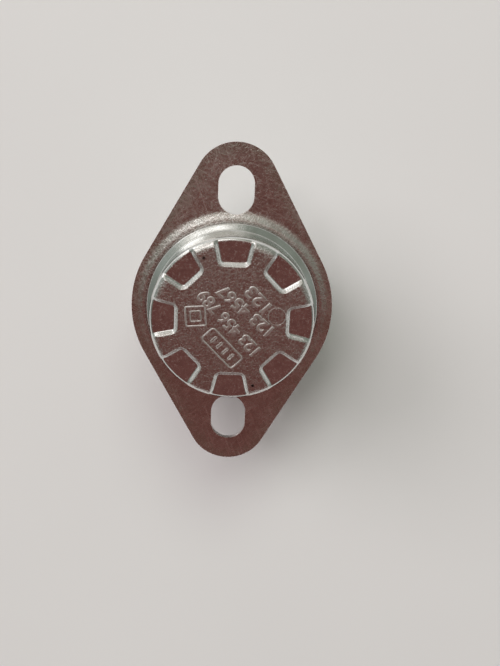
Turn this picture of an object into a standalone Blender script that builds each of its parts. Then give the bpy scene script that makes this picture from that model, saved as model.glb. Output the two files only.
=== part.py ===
"""Safety thermostat with a half-inch snap disc, cap upwards, standing on its two push-on tabs.

The origin is the centre of the sensing face. +Z points out of that face, and +Y runs
along the mounting bracket. A drawn aluminium cap holds a bimetal disc. When the disc snaps
over, it drives a ceramic pin down, the pin bends the contact arm off the fixed contact, and
the reset button under the arm comes out by the same travel. Pressing it puts all of them back.
"""

import math

import bmesh
import bpy
from mathutils import Matrix, Vector

MM = 0.001

# Clearances between pieces
SEAT_GAP = 0.05 * MM
CONTACT_GAP = 0.02 * MM
DISC_PLAY = 0.03 * MM

# Cap: a drawn aluminium cup
CAP_RADIUS = 8.0 * MM
CAP_SHEET = 0.5 * MM
CAP_EDGE_WIDTH = 1.0 * MM
CAP_EDGE_DEPTH = 0.6 * MM
CAP_HEIGHT = 5.4 * MM
NOTCH_COUNT = 8
NOTCH_DEPTH = 0.35 * MM
NOTCH_LENGTH = 2.4 * MM
NOTCH_INNER_WIDTH = 2.28 * MM
NOTCH_SIDE_ANGLE = math.radians(12.7)
NOTCH_WALL_RUN = 0.3 * MM
NOTCH_CORNER_RADIUS = 0.2 * MM
NOTCH_EDGE_RADIUS = 0.4 * MM
BEAD_REACH = 0.45 * MM
BEAD_THICKNESS = 0.3 * MM
FOOT_FILLET = 0.4 * MM
BACK_BEAD_REACH = 0.4 * MM
BACK_BEAD_HEIGHT = 0.5 * MM
CRIMP_DROP = 0.9 * MM
CRIMP_RADIUS = 0.45 * MM

# Mounting bracket: pressed steel sheet
BRACKET_SHEET = 0.6 * MM
BRACKET_END_RADIUS = 4.16 * MM
BRACKET_SIDE_MARGIN = 0.5 * MM
SLOT_WIDTH = 3.6 * MM
SLOT_LENGTH = 4.8 * MM
SLOT_FROM_CAP = 3.9 * MM
SLOT_END_WALL = 2.25 * MM
FLARE_WIDTH = 1.08 * MM
FLARE_RISE = 0.32 * MM
FLARE_LIP_GAP = 0.1 * MM
FLARE_LIP_WIDTH = 0.12 * MM
FLARE_SEAT_RISE = 0.1 * MM
FLARE_BACK_RISE = 0.18 * MM
FLARE_BACK_LAND = 0.6 * MM

# Bimetal disc and its guide
DISC_SHEET = 0.25 * MM
DISC_DOME = 0.3 * MM
DISC_SIDE_ROOM = 0.5 * MM
DISC_NOTCH_ROOM = 0.5 * MM
GUIDE_HEIGHT = 1.3 * MM
GUIDE_RIM_WIDTH = 1.0 * MM
GUIDE_FLOOR_ROOM = 0.3 * MM
GUIDE_BOSS_RADIUS = 2.0 * MM
GUIDE_BOSS_DROP = 0.8 * MM
GUIDE_SIDE_GAP = 0.1 * MM

# Transfer pin
PIN_RADIUS = 1.0 * MM
PIN_TIP_RADIUS = 0.4 * MM
PIN_TIP_LENGTH = 0.6 * MM
PIN_PLAY = 0.18 * MM
PIN_ARM_GAP = 0.06 * MM

# Contacts, arm and strip
PIN_SIDE_ROOM = 0.35 * MM
CONTACT_TAIL_ROOM = 0.45 * MM
CONTACT_RADIUS = 0.8 * MM
CONTACT_STEM_RADIUS = 0.4 * MM
CONTACT_TAIL_RADIUS = 0.6 * MM
CONTACT_TAIL_HEIGHT = 0.15 * MM
FIXED_CONTACT_HEIGHT = 0.6 * MM
MOVING_CONTACT_HEIGHT = 0.78 * MM
ARM_SHEET = 0.2 * MM
ARM_ROOT_RADIUS = 1.25 * MM
ARM_WIDTH = 2.2 * MM
ARM_TIP_RADIUS = 0.95 * MM
ARM_SLOPE_MARGIN = 1.15
STRIP_SHEET = 0.5 * MM
STRIP_END_RADIUS = 0.95 * MM
STRIP_ROOT_RADIUS = 1.25 * MM

# Base housing: phenolic moulding
BASE_NECK_WIDTH = 0.55 * MM
BASE_LEDGE_DEPTH = 2.5 * MM
BASE_ARM_ROOM = 1.3 * MM
BASE_BACK_WALL = 3.7 * MM
BASE_BACK_BEVEL = 0.35 * MM
ARM_LEDGE_WALL = 0.75 * MM
CHAMBER_SIDE_ROOM = 0.25 * MM
BOSS_WALL = 0.7 * MM
BOSS_HEIGHT = 0.6 * MM
FOOT_RECESS = 0.3 * MM

# Terminals: 6.3 x 0.8 tabs
TAB_WIDTH = 6.3 * MM
TAB_SHEET = 0.8 * MM
TAB_LENGTH = 8.0 * MM
TAB_BEND_RADIUS = 0.3 * MM
TAB_TIP_WIDTH = 3.9 * MM
TAB_TIP_TAPER = 1.3 * MM
TAB_LEAD_IN = 0.22 * MM
TAB_LEAD_LENGTH = 0.9 * MM
TAB_HOLE_RADIUS = 0.82 * MM
TAB_HOLE_HEIGHT = 3.9 * MM
FOOT_WIDTH = 5.0 * MM
FOOT_BOSS_GAP = 0.35 * MM

# Rivets
RIVET_RADIUS = 0.8 * MM
RIVET_HEAD_REACH = 0.25 * MM
RIVET_HEAD_HEIGHT = 0.4 * MM
RIVET_BORE_RADIUS = 0.42 * MM
RIVET_BORE_DEPTH = 2.0 * MM

# Reset button
BUTTON_RADIUS = 1.5 * MM
BUTTON_FLANGE_REACH = 0.45 * MM
BUTTON_FLANGE_HEIGHT = 0.3 * MM
BUTTON_NUB_RADIUS = 0.5 * MM
BUTTON_NUB_GAP = 0.1 * MM
BUTTON_FLOOR_GAP = 0.03 * MM
BUTTON_PROUD = 0.7 * MM
BUTTON_EDGE_RADIUS = 0.3 * MM

# Facets round a full turn
WIDE_SEGMENTS = 64
DISC_SEGMENTS = 48
SMALL_SEGMENTS = 24

# Heights that follow from the sizes above, all below the sensing face
PLATE_TOP = -CAP_HEIGHT
PLATE_BOTTOM = PLATE_TOP - BRACKET_SHEET
SHOULDER = PLATE_BOTTOM - CRIMP_DROP
DISC_RIM_TOP = -(CAP_SHEET + NOTCH_DEPTH + DISC_PLAY)
DISC_RIM_BOTTOM = DISC_RIM_TOP - DISC_SHEET
GUIDE_TOP = DISC_RIM_BOTTOM - DISC_PLAY
GUIDE_BOTTOM = GUIDE_TOP - GUIDE_HEIGHT
BASE_TOP = GUIDE_BOTTOM
STRIP_LEDGE = BASE_TOP - BASE_LEDGE_DEPTH
FIXED_CONTACT_FACE = STRIP_LEDGE - FIXED_CONTACT_HEIGHT
MOVING_CONTACT_FACE = FIXED_CONTACT_FACE - CONTACT_GAP
ARM_TOP = MOVING_CONTACT_FACE - MOVING_CONTACT_HEIGHT
ARM_LEDGE = ARM_TOP - ARM_SHEET
CHAMBER_FLOOR = ARM_LEDGE - BASE_ARM_ROOM
BASE_BACK = CHAMBER_FLOOR - BASE_BACK_WALL
FOOT_TOP = BASE_BACK + FOOT_RECESS
FOOT_BOTTOM = FOOT_TOP - TAB_SHEET
TAB_TIP = FOOT_BOTTOM - TAB_LENGTH
FLARE_BACK = PLATE_BOTTOM + FLARE_BACK_RISE
PIN_TRAVEL = 2 * DISC_DOME - PIN_PLAY

# Plan sizes that follow, from the cap outwards
FLARE_LIP_INNER = CAP_RADIUS + BEAD_REACH + FLARE_LIP_GAP
FLARE_LIP_OUTER = FLARE_LIP_INNER + FLARE_LIP_WIDTH
FLARE_RADIUS = FLARE_LIP_OUTER + FLARE_WIDTH
BRACKET_WIDTH = 2 * (FLARE_RADIUS + BRACKET_SIDE_MARGIN)
SLOT_SPACING = 2 * (CAP_RADIUS + SLOT_FROM_CAP)
BRACKET_LENGTH = SLOT_SPACING + SLOT_LENGTH + 2 * SLOT_END_WALL

# Plan sizes that follow, from the cap inwards
CAP_BORE = CAP_RADIUS - CAP_SHEET
NOTCH_INNER_RADIUS = CAP_RADIUS - NOTCH_LENGTH
DISC_RADIUS = CAP_BORE - DISC_SIDE_ROOM
DISC_DISH_RADIUS = NOTCH_INNER_RADIUS - DISC_NOTCH_ROOM
BASE_RADIUS = CAP_BORE - SEAT_GAP
BASE_NECK_RADIUS = BASE_RADIUS - BASE_NECK_WIDTH

# Plan sizes that follow, from the pin out to the tabs
PIN_HOLE_RADIUS = PIN_RADIUS + SEAT_GAP
STEM_HOLE_RADIUS = CONTACT_STEM_RADIUS + SEAT_GAP
RIVET_HOLE_RADIUS = RIVET_RADIUS + SEAT_GAP
RIVET_HEAD_RADIUS = RIVET_RADIUS + RIVET_HEAD_REACH
CONTACT_OFFSET = PIN_RADIUS + PIN_SIDE_ROOM + STRIP_END_RADIUS
RIVET_OFFSET = CONTACT_OFFSET + CONTACT_TAIL_RADIUS + CONTACT_TAIL_ROOM + RIVET_HEAD_RADIUS
CHAMBER_RADIUS = RIVET_OFFSET + max(ARM_ROOT_RADIUS, STRIP_ROOT_RADIUS) + SEAT_GAP
CHAMBER_END = CONTACT_OFFSET + ARM_TIP_RADIUS + SEAT_GAP
ARM_LEDGE_END = RIVET_OFFSET - RIVET_HOLE_RADIUS - ARM_LEDGE_WALL
TAB_OFFSET = RIVET_OFFSET + RIVET_HEAD_RADIUS + SEAT_GAP + TAB_BEND_RADIUS + TAB_SHEET / 2

# Plan sizes that follow from the button
BUTTON_HOLE_RADIUS = BUTTON_RADIUS + SEAT_GAP
BUTTON_FLANGE_RADIUS = BUTTON_RADIUS + BUTTON_FLANGE_REACH
CHAMBER_WIDTH = 2 * (BUTTON_FLANGE_RADIUS + CHAMBER_SIDE_ROOM)
BOSS_RADIUS = BUTTON_HOLE_RADIUS + BOSS_WALL
FOOT_END = BOSS_RADIUS + FOOT_BOSS_GAP

# Where the arm starts to bend, and how far the pin turns it
HINGE_LINE = -RIVET_OFFSET - ARM_ROOT_RADIUS
ARM_SWING = PIN_TRAVEL / -HINGE_LINE

# Cutters run this far past the face they open
OVERRUN = 0.1 * MM

# Size of the axes that mark the frame and the joints in the view
AXES_SIZE = 2.0 * MM


def clear_scene():
    for obj in list(bpy.data.objects):
        bpy.data.objects.remove(obj, do_unlink=True)


def material(name, colour, roughness, metallic):
    made = bpy.data.materials.new(name)
    made.use_nodes = True
    shader = made.node_tree.nodes["Principled BSDF"]
    shader.inputs["Base Color"].default_value = (*colour, 1.0)
    shader.inputs["Roughness"].default_value = roughness
    shader.inputs["Metallic"].default_value = metallic
    made.diffuse_color = (*colour, 1.0)
    return made


def arc(centre, radius, start, end, steps, rise=None):
    """Points on an arc, both ends included, in degrees. A rise other than the radius makes
    it part of an ellipse."""
    rise = radius if rise is None else rise
    points = []
    for i in range(steps + 1):
        angle = math.radians(start + (end - start) * i / steps)
        points.append((centre[0] + radius * math.cos(angle), centre[1] + rise * math.sin(angle)))
    return points


def finish_mesh(bm, name):
    """Merges doubles, turns the faces outwards and stores the mesh, smooth but for its edges."""
    bmesh.ops.remove_doubles(bm, verts=bm.verts, dist=1e-7)
    bmesh.ops.recalc_face_normals(bm, faces=bm.faces)
    mesh = bpy.data.meshes.new(name)
    bm.to_mesh(mesh)
    bm.free()
    mesh.shade_smooth()
    mesh.set_sharp_from_angle(angle=math.radians(32))
    return mesh


def turned(name, profile, segments, at=(0.0, 0.0)):
    """A solid of revolution round the vertical line through at. The profile holds
    (radius, height) pairs, and it starts and ends on the axis or closes into a ring."""
    bm = bmesh.new()
    verts = [bm.verts.new((radius, 0.0, height)) for radius, height in profile]
    edges = [bm.edges.new(pair) for pair in zip(verts, verts[1:])]
    if profile[0][0] > 0:
        edges.append(bm.edges.new((verts[-1], verts[0])))
    bmesh.ops.spin(
        bm,
        geom=verts + edges,
        axis=(0.0, 0.0, 1.0),
        cent=(0.0, 0.0, 0.0),
        steps=segments,
        angle=math.tau,
        use_merge=True,
    )
    bmesh.ops.translate(bm, verts=bm.verts, vec=(at[0], at[1], 0.0))
    return finish_mesh(bm, name)


def add_prism(bm, outline, low, high):
    """A straight prism from a flat outline of (x, y) pairs, between two heights."""
    face = bm.faces.new([bm.verts.new((x, y, low)) for x, y in outline])
    lifted = bmesh.ops.extrude_face_region(bm, geom=[face])["geom"]
    top = [item for item in lifted if isinstance(item, bmesh.types.BMVert)]
    bmesh.ops.translate(bm, verts=top, vec=(0.0, 0.0, high - low))


def add_loft(bm, outlines):
    """A closed body through flat outlines, given as (height, points) with equal counts."""
    rings = [
        [bm.verts.new((x, y, height)) for x, y in points] for height, points in outlines
    ]
    for lower, upper in zip(rings, rings[1:]):
        count = len(lower)
        for i in range(count):
            j = (i + 1) % count
            bm.faces.new((lower[i], lower[j], upper[j], upper[i]))
    bm.faces.new(rings[0])
    bm.faces.new(rings[-1])


def prism(name, outline, low, high):
    bm = bmesh.new()
    add_prism(bm, outline, low, high)
    return finish_mesh(bm, name)


def place(name, mesh, parent, look=None):
    """Adds a mesh as an object whose origin is its parent's."""
    obj = bpy.data.objects.new(name, mesh)
    bpy.context.scene.collection.objects.link(obj)
    obj.parent = parent
    if look is not None:
        mesh.materials.append(look)
    return obj


def axis_empty(name, at, parent=None):
    empty = bpy.data.objects.new(name, None)
    bpy.context.scene.collection.objects.link(empty)
    empty.empty_display_size = AXES_SIZE
    empty.location = at
    empty.parent = parent
    return empty


def cutter(mesh, parent):
    """Adds a mesh as a helper under its own name, drawn as wire and not a part of the object."""
    obj = place(mesh.name, mesh, parent)
    obj.hide_render = True
    obj.display_type = "WIRE"
    return obj


def combine(obj, other, operation):
    change = obj.modifiers.new(other.name, "BOOLEAN")
    change.operation = operation
    change.solver = "EXACT"
    change.object = other


def cut(obj, mesh):
    combine(obj, cutter(mesh, obj.parent), "DIFFERENCE")


def circle_outline(centre, radius, segments):
    return arc(centre, radius, 0, 360, segments)[:-1]


def slot_outline(centre, width, length, steps=12):
    """A slot with round ends, long in Y."""
    half = width / 2
    reach = length / 2 - half
    top = arc((centre[0], centre[1] + reach), half, 0, 180, steps)
    bottom = arc((centre[0], centre[1] - reach), half, 180, 360, steps)
    return top + bottom


def tapered_outline(small_centre, small, large_centre, large, steps):
    """The outline of two round ends joined by their common tangents, along X or Y."""
    dx = small_centre[0] - large_centre[0]
    dy = small_centre[1] - large_centre[1]
    heading = math.degrees(math.atan2(dy, dx))
    lean = math.degrees(math.acos((large - small) / math.hypot(dx, dy)))
    end = arc(small_centre, small, heading - lean, heading + lean, steps)
    root = arc(large_centre, large, heading + lean, heading + 360 - lean, steps)
    return end + root


def rectangle(x_low, x_high, y_low, y_high):
    return [(x_low, y_low), (x_high, y_low), (x_high, y_high), (x_low, y_high)]


def notch_outline(angle, spread, outer_radius):
    """One notch seen from above, widening outwards, with round inner corners. Spread moves
    its three walls outwards by an equal distance."""
    side = NOTCH_SIDE_ANGLE
    inner = NOTCH_INNER_RADIUS - spread
    half = NOTCH_INNER_WIDTH / 2 + spread / math.cos(side) - spread * math.tan(side)
    corner = NOTCH_CORNER_RADIUS + max(spread, 0.0)
    outer_half = half + (outer_radius - inner) * math.tan(side)
    turn = math.pi / 2 - side
    reach = corner / math.tan((math.pi - turn) / 2)
    centre = (inner + corner, half - reach)
    low = arc((centre[0], -centre[1]), corner, 270 - math.degrees(side), 180, 3)
    high = arc(centre, corner, 180, 90 + math.degrees(side), 3)
    points = [(outer_radius, -outer_half)] + low + high + [(outer_radius, outer_half)]
    turned_points = []
    for x, y in points:
        turned_points.append(
            (
                x * math.cos(angle) - y * math.sin(angle),
                x * math.sin(angle) + y * math.cos(angle),
            )
        )
    return turned_points


def notch_angles():
    return [math.pi / 2 + math.tau * i / NOTCH_COUNT for i in range(NOTCH_COUNT)]


def cap_profile():
    """Section of the cup: face, rounded edge, wall, foot, bead, neck, back bead and crimp."""
    radius = CAP_RADIUS
    seat = PLATE_TOP + FLARE_SEAT_RISE
    foot = seat + BEAD_THICKNESS
    bead = radius + BEAD_REACH
    corner = BEAD_THICKNESS / 4
    back_bead = radius + BACK_BEAD_REACH
    lip = BASE_NECK_RADIUS + SEAT_GAP
    crimp_low = SHOULDER - CAP_SHEET
    points = [(0.0, 0.0)]
    edge = (radius - CAP_EDGE_WIDTH, -CAP_EDGE_DEPTH)
    points += arc(edge, CAP_EDGE_WIDTH, 90, 0, 6, rise=CAP_EDGE_DEPTH)
    points += arc((radius + FOOT_FILLET, foot + FOOT_FILLET), FOOT_FILLET, 180, 270, 4)
    points += [(bead, foot - corner), (bead, seat + corner), (bead - corner, seat)]
    points += [(radius, seat), (radius, FLARE_BACK)]
    points += [(back_bead, FLARE_BACK), (back_bead, FLARE_BACK - BACK_BEAD_HEIGHT / 2)]
    points += [(radius, FLARE_BACK - BACK_BEAD_HEIGHT)]
    crimp = (radius - CRIMP_RADIUS, crimp_low + CRIMP_RADIUS)
    points += arc(crimp, CRIMP_RADIUS, 0, -90, 3)
    points += [(lip, crimp_low), (lip, SHOULDER), (CAP_BORE, SHOULDER)]
    points += [(CAP_BORE, -2 * CAP_SHEET), (CAP_BORE - CAP_SHEET / 2, -CAP_SHEET)]
    points += [(0.0, -CAP_SHEET)]
    return points


def build_cap(parent, look):
    """The cup, with each notch pressed in from outside and standing proud inside."""
    cap = place(
        "sensing_cap", turned("sensing_cap", cap_profile(), WIDE_SEGMENTS), parent, look
    )
    slope = NOTCH_WALL_RUN / NOTCH_DEPTH
    past_rim = CAP_RADIUS + OVERRUN
    in_wall = CAP_RADIUS - CAP_SHEET / 2
    pads = bmesh.new()
    cuts = bmesh.new()
    for angle in notch_angles():
        sheet_middle = -CAP_SHEET / 2 - NOTCH_DEPTH / 4
        pad_low = -(CAP_SHEET + NOTCH_DEPTH)
        pad_spread = CAP_SHEET / 4
        rise = sheet_middle - pad_low
        add_loft(
            pads,
            [
                (pad_low, notch_outline(angle, pad_spread, in_wall)),
                (sheet_middle, notch_outline(angle, pad_spread + slope * rise, in_wall)),
            ],
        )
        add_loft(
            cuts,
            [
                (-CAP_EDGE_DEPTH - NOTCH_DEPTH - OVERRUN, notch_outline(angle, 0.0, past_rim)),
                (-NOTCH_DEPTH, notch_outline(angle, 0.0, past_rim)),
                (OVERRUN, notch_outline(angle, slope * (OVERRUN + NOTCH_DEPTH), past_rim)),
            ],
        )
    pad_helper = cutter(finish_mesh(pads, "notch_pads"), parent)
    cut_helper = cutter(finish_mesh(cuts, "notch_cuts"), parent)
    floor_centre = (CAP_RADIUS - NOTCH_EDGE_RADIUS, -NOTCH_DEPTH - NOTCH_EDGE_RADIUS)
    floor = [(0.0, -NOTCH_DEPTH)] + arc(floor_centre, NOTCH_EDGE_RADIUS, 90, 0, 4)
    floor += [(CAP_RADIUS, -CAP_HEIGHT), (0.0, -CAP_HEIGHT)]
    cut(cut_helper, turned("notch_floor_form", floor, WIDE_SEGMENTS))
    combine(cap, pad_helper, "UNION")
    combine(cap, cut_helper, "DIFFERENCE")


def bracket_outline():
    """Two round ends and two round sides, joined by their common tangents."""
    end_centre = BRACKET_LENGTH / 2 - BRACKET_END_RADIUS
    half = BRACKET_WIDTH / 2
    lean = math.degrees(math.asin((half - BRACKET_END_RADIUS) / end_centre))
    points = arc((0.0, 0.0), half, -lean, lean, 12)
    points += arc((0.0, end_centre), BRACKET_END_RADIUS, lean, 180 - lean, 18)
    points += arc((0.0, 0.0), half, 180 - lean, 180 + lean, 12)
    points += arc((0.0, -end_centre), BRACKET_END_RADIUS, 180 + lean, 360 - lean, 18)
    return points


def flare_profile():
    """Section of the raised ring: from the plate's top, up to the lip, down to the bead's
    seat, through the bore and back under to the plate's bottom."""
    bore = CAP_RADIUS + SEAT_GAP
    sweep_radius = (FLARE_WIDTH**2 + FLARE_RISE**2) / (2 * FLARE_RISE)
    steep = math.degrees(math.asin(FLARE_WIDTH / sweep_radius))
    top = arc(
        (FLARE_RADIUS, PLATE_TOP + sweep_radius), sweep_radius, 270, 270 - steep, 4
    )
    seat = PLATE_TOP + FLARE_SEAT_RISE
    points = top + [(FLARE_LIP_INNER, PLATE_TOP + FLARE_RISE - FLARE_LIP_WIDTH / 2)]
    points += [(FLARE_LIP_INNER - FLARE_LIP_GAP / 2, seat), (bore, seat), (bore, FLARE_BACK)]
    land = bore + FLARE_BACK_LAND
    middle = (land + FLARE_RADIUS) / 2
    points += [(land, FLARE_BACK), (middle, PLATE_BOTTOM + FLARE_BACK_RISE / 4)]
    points += [(FLARE_RADIUS, PLATE_BOTTOM)]
    return points


def build_bracket(parent, look):
    """The ring is spun from its section, and the flat round it is filled to the outline."""
    bm = bmesh.new()
    section = flare_profile()
    verts = [bm.verts.new((radius, 0.0, height)) for radius, height in section]
    edges = [bm.edges.new(pair) for pair in zip(verts, verts[1:])]
    bmesh.ops.spin(
        bm,
        geom=verts + edges,
        axis=(0.0, 0.0, 1.0),
        cent=(0.0, 0.0, 0.0),
        steps=WIDE_SEGMENTS,
        angle=math.tau,
        use_merge=True,
    )
    bmesh.ops.remove_doubles(bm, verts=bm.verts, dist=1e-7)
    outline = bracket_outline()
    rings = []
    for height in (PLATE_TOP, PLATE_BOTTOM):
        ring = [bm.verts.new((x, y, height)) for x, y in outline]
        rings.append(ring)
        for i in range(len(ring)):
            bm.edges.new((ring[i], ring[(i + 1) % len(ring)]))
    count = len(outline)
    for i in range(count):
        j = (i + 1) % count
        bm.faces.new((rings[1][i], rings[1][j], rings[0][j], rings[0][i]))
    for height in (PLATE_TOP, PLATE_BOTTOM):
        open_edges = []
        for edge in bm.edges:
            level = all(abs(vert.co.z - height) < 1e-6 for vert in edge.verts)
            if level and len(edge.link_faces) == 1:
                open_edges.append(edge)
        bmesh.ops.triangle_fill(bm, use_beauty=True, edges=open_edges, normal=(0, 0, 1))
    bracket = place("mounting_bracket", finish_mesh(bm, "mounting_bracket"), parent, look)
    slots = bmesh.new()
    for side in (1, -1):
        outline = slot_outline((0.0, side * SLOT_SPACING / 2), SLOT_WIDTH, SLOT_LENGTH)
        add_prism(slots, outline, PLATE_BOTTOM - OVERRUN, PLATE_TOP + FLARE_RISE + OVERRUN)
    cut(bracket, finish_mesh(slots, "slot_cuts"))


def build_disc(parent, look):
    """A shallow dish of even thickness, with a flat rim under the cap's notches."""
    steps = 5
    top = []
    for i in range(steps + 1):
        share = i / steps
        top.append((DISC_DISH_RADIUS * share, DISC_RIM_TOP + DISC_DOME * (1 - share**2)))
    top.append((DISC_RADIUS, DISC_RIM_TOP))
    under = [(radius, height - DISC_SHEET) for radius, height in reversed(top)]
    place("bimetal_disc", turned("bimetal_disc", top + under, DISC_SEGMENTS), parent, look)


def build_guide(parent, look):
    """A moulded plate: the disc's rim rests on its rim, and the pin slides in its boss."""
    radius = CAP_BORE - GUIDE_SIDE_GAP
    inner = DISC_RADIUS - GUIDE_RIM_WIDTH
    floor = DISC_RIM_BOTTOM - DISC_DOME - GUIDE_FLOOR_ROOM
    boss_low = GUIDE_BOTTOM - GUIDE_BOSS_DROP
    profile = [
        (PIN_HOLE_RADIUS, floor),
        (inner, floor),
        (inner, GUIDE_TOP),
        (radius, GUIDE_TOP),
        (radius, GUIDE_BOTTOM),
        (GUIDE_BOSS_RADIUS, GUIDE_BOTTOM),
        (GUIDE_BOSS_RADIUS, boss_low),
        (PIN_HOLE_RADIUS, boss_low),
    ]
    place("disc_guide", turned("disc_guide", profile, DISC_SEGMENTS), parent, look)


def build_pin(parent, look):
    """A straight pin that ends in a small round nose on the arm."""
    top = DISC_RIM_TOP + DISC_DOME - DISC_SHEET - PIN_PLAY
    low = ARM_TOP + PIN_ARM_GAP
    edge = PIN_RADIUS / 6
    profile = [
        (0.0, top),
        (PIN_RADIUS - edge, top),
        (PIN_RADIUS, top - edge),
        (PIN_RADIUS, low + PIN_TIP_LENGTH),
        (PIN_TIP_RADIUS, low),
        (0.0, low),
    ]
    place("transfer_pin", turned("transfer_pin", profile, SMALL_SEGMENTS), parent, look)


def foot_outline(side, gap):
    """A terminal's foot seen from above: narrow by the rivet, full width at the bend."""
    inner = side * (FOOT_END - gap)
    bend = side * (TAB_OFFSET - TAB_SHEET / 2 - TAB_BEND_RADIUS - gap)
    outer = side * (BASE_RADIUS + OVERRUN)
    narrow = FOOT_WIDTH / 2 + gap
    wide = TAB_WIDTH / 2 + gap
    upper = [(outer, wide), (bend, wide), (bend, narrow), (inner, narrow)]
    lower = [(x, -y) for x, y in reversed(upper)]
    return upper + lower


def build_base(parent, look):
    """The moulding: a flange inside the cap, a neck behind it, and the contact chamber."""
    bevel = BASE_BACK_BEVEL
    boss_low = BASE_BACK - BOSS_HEIGHT
    profile = [
        (BUTTON_HOLE_RADIUS, BASE_TOP),
        (BASE_RADIUS, BASE_TOP),
        (BASE_RADIUS, SHOULDER),
        (BASE_NECK_RADIUS, SHOULDER),
        (BASE_NECK_RADIUS, BASE_BACK + bevel),
        (BASE_NECK_RADIUS - bevel, BASE_BACK),
        (BOSS_RADIUS, BASE_BACK),
        (BOSS_RADIUS, boss_low + bevel / 2),
        (BOSS_RADIUS - bevel / 2, boss_low),
        (BUTTON_HOLE_RADIUS, boss_low),
    ]
    base = place("base_housing", turned("base_housing", profile, WIDE_SEGMENTS), parent, look)

    half = CHAMBER_WIDTH / 2
    root_reach = math.sqrt(CHAMBER_RADIUS**2 - half**2)
    root_outline = [(CHAMBER_END, -half), (CHAMBER_END, half)]
    start = math.degrees(math.atan2(half, -root_reach))
    root_outline += arc((0.0, 0.0), CHAMBER_RADIUS, start, 360 - start, 6)
    chamber = prism(
        "chamber_cut",
        circle_outline((0.0, 0.0), CHAMBER_RADIUS, DISC_SEGMENTS),
        STRIP_LEDGE,
        BASE_TOP + OVERRUN,
    )
    cut(base, chamber)
    pocket = bmesh.new()
    add_prism(pocket, root_outline, ARM_LEDGE, STRIP_LEDGE + OVERRUN)
    slope = math.tan(ARM_SWING * ARM_SLOPE_MARGIN)
    for vert in pocket.verts:
        if vert.co.z < STRIP_LEDGE:
            vert.co.z -= slope * (vert.co.x - HINGE_LINE)
    cut(base, finish_mesh(pocket, "arm_pocket_cut"))
    well = prism(
        "arm_well_cut",
        rectangle(-ARM_LEDGE_END, CHAMBER_END - SEAT_GAP, -half + SEAT_GAP, half - SEAT_GAP),
        CHAMBER_FLOOR,
        ARM_LEDGE + OVERRUN,
    )
    cut(base, well)

    holes = bmesh.new()
    recesses = bmesh.new()
    for side in (1, -1):
        hole = circle_outline((side * RIVET_OFFSET, 0.0), RIVET_HOLE_RADIUS, SMALL_SEGMENTS)
        add_prism(holes, hole, BASE_BACK - OVERRUN, STRIP_LEDGE + OVERRUN)
        add_prism(recesses, foot_outline(side, SEAT_GAP), BASE_BACK - OVERRUN, FOOT_TOP)
    cut(base, finish_mesh(holes, "rivet_hole_cuts"))
    cut(base, finish_mesh(recesses, "foot_recess_cuts"))


def build_arm(parent, look):
    """The leaf spring, in the frame of the line where it starts to bend."""
    shift = -HINGE_LINE
    root = (-RIVET_OFFSET + shift, 0.0)
    tip = (CONTACT_OFFSET + shift, 0.0)
    half = ARM_WIDTH / 2
    height = ARM_SHEET / 2
    root_lean = math.degrees(math.asin(min(half / ARM_ROOT_RADIUS, 1.0)))
    outline = arc(root, ARM_ROOT_RADIUS, root_lean, 360 - root_lean, 12)
    outline += [(tip[0] - ARM_TIP_RADIUS, -half)]
    outline += arc(tip, ARM_TIP_RADIUS, -90, 90, 10)
    outline += [(tip[0] - ARM_TIP_RADIUS, half)]
    arm = place("contact_arm", prism("contact_arm", outline, -height, height), parent, look)
    holes = bmesh.new()
    rivet_hole = circle_outline(root, RIVET_HOLE_RADIUS, SMALL_SEGMENTS)
    stem_hole = circle_outline(tip, STEM_HOLE_RADIUS, SMALL_SEGMENTS)
    for outline in (rivet_hole, stem_hole):
        add_prism(holes, outline, -height - OVERRUN, height + OVERRUN)
    cut(arm, finish_mesh(holes, "arm_hole_cuts"))


def contact_profile(face, sheet_near, sheet_far):
    """A contact rivet from its working face, through its sheet, to its upset tail."""
    way = 1 if sheet_near > face else -1
    edge = CONTACT_RADIUS / 8
    return [
        (0.0, face),
        (CONTACT_RADIUS - edge, face),
        (CONTACT_RADIUS, face + way * edge),
        (CONTACT_RADIUS, sheet_near),
        (CONTACT_STEM_RADIUS, sheet_near),
        (CONTACT_STEM_RADIUS, sheet_far),
        (CONTACT_TAIL_RADIUS, sheet_far),
        (CONTACT_TAIL_RADIUS - edge / 2, sheet_far + way * CONTACT_TAIL_HEIGHT),
        (0.0, sheet_far + way * CONTACT_TAIL_HEIGHT),
    ]


def build_moving_contact(parent, look):
    height = ARM_SHEET / 2
    profile = contact_profile(height + MOVING_CONTACT_HEIGHT, height, -height)
    at = (CONTACT_OFFSET - HINGE_LINE, 0.0)
    place("moving_contact", turned("moving_contact", profile, SMALL_SEGMENTS, at), parent, look)


def build_fixed_side(parent, strip_look, contact_look):
    """The brass strip on its ledge, and the contact under its free end."""
    root = (RIVET_OFFSET, 0.0)
    tip = (CONTACT_OFFSET, 0.0)
    outline = tapered_outline(tip, STRIP_END_RADIUS, root, STRIP_ROOT_RADIUS, 10)
    top = STRIP_LEDGE + STRIP_SHEET
    strip = place(
        "fixed_contact_strip",
        prism("fixed_contact_strip", outline, STRIP_LEDGE, top),
        parent,
        strip_look,
    )
    holes = bmesh.new()
    rivet_hole = circle_outline(root, RIVET_HOLE_RADIUS, SMALL_SEGMENTS)
    stem_hole = circle_outline(tip, STEM_HOLE_RADIUS, SMALL_SEGMENTS)
    for outline in (rivet_hole, stem_hole):
        add_prism(holes, outline, STRIP_LEDGE - OVERRUN, top + OVERRUN)
    cut(strip, finish_mesh(holes, "strip_hole_cuts"))
    profile = contact_profile(FIXED_CONTACT_FACE, STRIP_LEDGE, top)
    place("fixed_contact", turned("fixed_contact", profile, SMALL_SEGMENTS, tip), parent, contact_look)


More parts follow.
